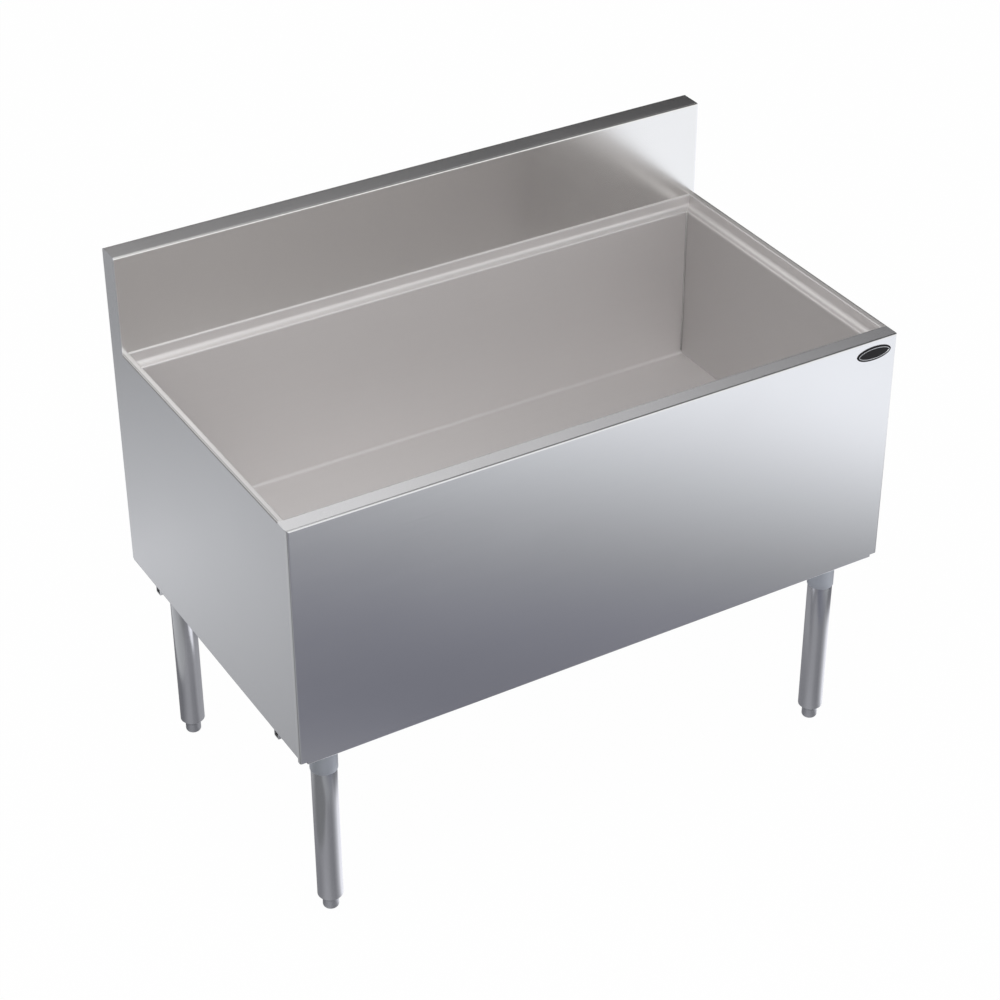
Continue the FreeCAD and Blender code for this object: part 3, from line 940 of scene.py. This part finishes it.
def makeFloor(look):
    clearSelection()
    bpy.ops.mesh.primitive_plane_add(size=look["floorSize"], location=(0, 0, look["floorHeight"]))
    floor = bpy.context.object
    floor.name = "floor"
    settle(floor)
    material, graph = startMaterial("paleFloor")
    grain = onObject(graph).noise(look["grain"], 3.0, 0.5)
    color = grain.tint(hue(look["floorColor"]), hue(look["floorColor"], look["floorLight"]))
    matte = graph.add("ShaderNodeBsdfDiffuse", None, {"Color": color})
    white = graph.add("ShaderNodeEmission", None, {"Strength": 1.0})
    share = seenRays(graph) * look["share"]
    closeMaterial(graph, graph.add("ShaderNodeMixShader", None, {0: share, 1: matte, 2: white}))
    floor.data.materials.append(material)


# brightness that follows a list of (distance, level) pairs
def levelAlong(value, pairs):
    first, last = pairs[0][0], pairs[-1][0]
    top = max(level for _, level in pairs)
    share = (value - first) / (last - first)
    stops = [((distance - first) / (last - first), level / top) for distance, level in pairs]
    return share.add("ShaderNodeValToRGB", {"stops": stops}, {"Fac": share}) * top


# floor at the left: a pool of light that fades with the square root of the distance
sideLook = {"middle": (-0.66, 0.80), "peak": 0.61, "fall": 0.50, "least": 0.13, "edge": (-0.20, 0.10),
            "base": 0.215}


def sideLevel(x, y, z):
    look = sideLook
    middleX, middleY = look["middle"]
    distanceRoot = ((x - middleX) ** 2 + (y - middleY) ** 2) ** 0.25
    pool = (look["peak"] - distanceRoot * look["fall"]).most(look["least"])
    return pool * y.between(*look["edge"]) + look["base"]


# painted reflection of the floor in front: bands that run across the line of sight and fan out away from the
# bin, darker near the bin as a painted shadow and bright to the front right as a painted pool of light
frontLook = {"across": 0.613, "near": 0.79, "fanFrom": 0.9, "fanLine": 0.95, "fanLeast": -0.27, "fan": 0.7}
frontPairs = [(-0.40, 0.42), (0.05, 0.36), (0.30, 0.23), (0.46, 0.185), (0.66, 0.197), (0.84, 0.243),
              (0.93, 0.276), (1.02, 0.34), (1.12, 0.445), (1.21, 0.555), (1.29, 0.67), (1.37, 0.82),
              (1.46, 1.03), (1.53, 1.11), (1.75, 0.99)]


def frontLevel(x, y, z):
    look = frontLook
    reach = x * look["across"] - y * look["near"]
    fan = (reach - look["fanFrom"]) * (y + look["fanLine"]).most(look["fanLeast"]) * look["fan"]
    return levelAlong(reach + fan, frontPairs)


# wall behind: bands that climb to the right, with one low step
wallLook = {"climb": 0.24, "step": (0.1, 0.9), "stepHeight": 0.05}
wallPairs = [(1.50, 0.01), (1.62, 0.03), (1.75, 0.09), (1.90, 0.08), (2.03, 0.10), (2.10, 0.30), (2.20, 0.64),
             (2.30, 0.93), (2.42, 1.03), (2.56, 1.14)]


def wallLevel(x, y, z):
    step = (x.between(*wallLook["step"]) - 1) * wallLook["stepHeight"]
    return levelAlong(z - x * wallLook["climb"] + step, wallPairs)


# dark card far to the left: painted shade on the well's right wall and right rim, seen only in reflections
leftShadeLook = {"climb": 0.08, "base": 0.18}


def leftShadeLevel(x, y, z):
    return z * leftShadeLook["climb"] + leftShadeLook["base"]


# card overhead, bright to the left and dark to the right: painted light and shade across the well and splash,
# seen only in reflections
ceilingPairs = [(-1.60, 2.35), (-0.70, 1.85), (0.00, 0.85), (0.70, 0.17), (2.50, 0.06)]


def ceilingLevel(x, y, z):
    return levelAlong(x, ceilingPairs)


# painted reflection for the legs: a card on the floor under the bin, dark as a painted shadow of the bin,
# graded by the angle round each leg: 0 towards the front left, positive to the right, with the rear legs
# capped darker
underShadowLook = {"dark": 0.20, "sight": (0.86, 0.51), "centre": 0.01, "pull": 0.22, "fade": (0.28, 0.42)}
legMost = {"front": 1.05, "rear": 0.40}
legPairs = [(-3.15, 0.24), (-2.50, 0.22), (-1.90, 0.19), (-1.35, 0.19), (-0.92, 0.26), (-0.48, 0.35),
            (-0.06, 0.355), (0.34, 0.27), (0.84, 0.245), (1.20, 0.36), (1.55, 0.60), (1.92, 0.98),
            (3.15, 1.05)]


def underShadowLevel(x, y, z):
    look = underShadowLook
    along, across = look["sight"]
    level = 0.0
    for place in places:
        legAtX, legAtY = legPlace(place)
        dx, dy = x - legAtX, y - legAtY
        right, near = dx * along - dy * across, 0.0 - dx * across - dy * along
        reach = (dx ** 2 + dy ** 2) ** 0.5
        pull = (near / reach.most(look["centre"])).most(0.0) * look["pull"]
        weight = 1 - (reach - pull).between(*look["fade"])
        streaks = levelAlong(right.calc("ARCTAN2", right, near), legPairs)
        level = (streaks.least(legMost[place.split("_")[0]]) - look["dark"]) * weight + level
    return level + look["dark"]


cardLooks = {
    "sideCard": {"low": (-2.8, -2.3, 0.001), "high": (-0.60, 2.4, 0.001), "level": sideLevel, "fade": 0.06,
                 "tints": ((1, 1.01, 1.05), (1, 1.01, 1.04))},
    "frontCard": {"low": (-1.5, -2.4, 0.0014), "high": (2.6, -0.56, 0.0014), "level": frontLevel,
                  "fade": 0.06, "tints": ((1, 1.015, 1.205), (1, 1.02, 1.065))},
    "wallCard": {"low": (-1.0, 2.3, 0.9), "high": (5.2, 2.3, 4.4), "level": wallLevel, "fade": 0.25,
                 "tints": ((1, 0.99, 1.04), (1, 0.99, 1.0))},
    "leftCard": {"low": (-3.3, -3.0, 0.3), "high": (-3.3, 2.3, 2.9), "level": leftShadeLevel, "fade": 0.3},
    "ceilingCard": {"low": (-2.6, -2.0, 2.9), "high": (3.6, 2.25, 2.9), "level": ceilingLevel, "fade": 0.3},
    "underCard": {"low": (-1.5, -0.9, 0.0005), "high": (1.5, 1.4, 0.0005), "level": underShadowLevel, "fade": 0.3,
                  "tints": ((1, 1, 1.08), (1, 1, 1.06))},
}
cardCommon = {"tints": ((1, 1, 1), (1, 1, 1)), "tintLevels": (0.20, 0.34)}


# a glowing card, no lamp, whose painted light and shade only the steel's reflections see (painted
# reflections), clear towards its edges
def makeCard(name, look):
    clearSelection()
    low, high, fade, tints = Vector(look["low"]), Vector(look["high"]), look["fade"], look["tints"]
    size = high - low
    thin = min(range(3), key=lambda axis: size[axis])
    turn = [(0, math.radians(90), 0), (math.radians(90), 0, 0), (0, 0, 0)][thin]
    bpy.ops.mesh.primitive_plane_add(size=1, location=(low + high) / 2, rotation=turn)
    card = bpy.context.object
    card.name = name
    card.scale = [(size.z, size.y, 1), (size.x, size.z, 1), (size.x, size.y, 1)][thin]
    settle(card)
    material, graph = startMaterial(name)
    x = graph.add("ShaderNodeSeparateXYZ", None, {"Vector": onObject(graph)})
    y, z = x.other("Y"), x.other("Z")
    strength = look["level"](x, y, z)
    color = strength.between(*look["tintLevels"]).tint(hue(tints[0]), hue(tints[1]))
    lit = graph.add("ShaderNodeVectorMath", {"operation": "SCALE"}, {0: color, "Scale": strength})
    glow = graph.add("ShaderNodeEmission", None, {"Color": lit, "Strength": 1.0})
    clear = graph.add("ShaderNodeBsdfTransparent")
    inside = 1.0
    for axis, value in enumerate((x, y, z)):
        if axis != thin:
            first, last = low[axis], high[axis]
            inside = value.between(first, first + fade) * inside * (1 - value.between(last - fade, last))
    closeMaterial(graph, graph.add("ShaderNodeMixShader", None, {0: inside, 1: clear, 2: glow}))
    card.data.materials.append(material)
    for ray in ("camera", "diffuse", "shadow", "transmission"):
        setattr(card, "visible_" + ray, False)


makeFloor(stageLook)
for name, look in cardLooks.items():
    makeCard(name, {**cardCommon, **look})


lampLooks = [
    {"name": "topLamp", "place": (-0.6, -0.9, 3.2), "aim": (0, 0, 0.6), "size": (2.4, 2.0), "glow": 1.5,
     "mirrored": True},
    {"name": "leftLamp", "place": (-3.0, -1.2, 1.8), "aim": (0, 0, 0.6), "size": (1.4, 1.8), "glow": 1.1,
     "mirrored": False},
]


def addLamp(look):
    turn = (Vector(look["aim"]) - Vector(look["place"])).to_track_quat("-Z", "Y")
    bpy.ops.object.light_add(type="AREA", location=look["place"], rotation=turn.to_euler())
    lamp = bpy.context.object
    lamp.name = look["name"]
    lamp.data.shape = "RECTANGLE"
    lamp.data.size, lamp.data.size_y = look["size"]
    lamp.data.energy = look["glow"] * math.pi * look["size"][0] * look["size"][1]
    lamp.visible_glossy = look["mirrored"]


for lampLook in lampLooks:
    addLamp(lampLook)


def makeWorld(look):
    world = bpy.data.worlds.new("studioWhite")
    world.use_nodes = True
    world.node_tree.nodes.clear()
    graph = Wire(world.node_tree)
    level = seenRays(graph) * (1 - look["skyLevel"]) + look["skyLevel"]
    sky = graph.add("ShaderNodeBackground", None, {"Color": (1, 1, 1, 1), "Strength": level})
    output = graph.tree.nodes.new("ShaderNodeOutputWorld")
    graph.tree.links.new(sky.socket, output.inputs["Surface"])
    bpy.context.scene.world = world


makeWorld(stageLook)
print("stage lit")

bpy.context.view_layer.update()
clearSelection()
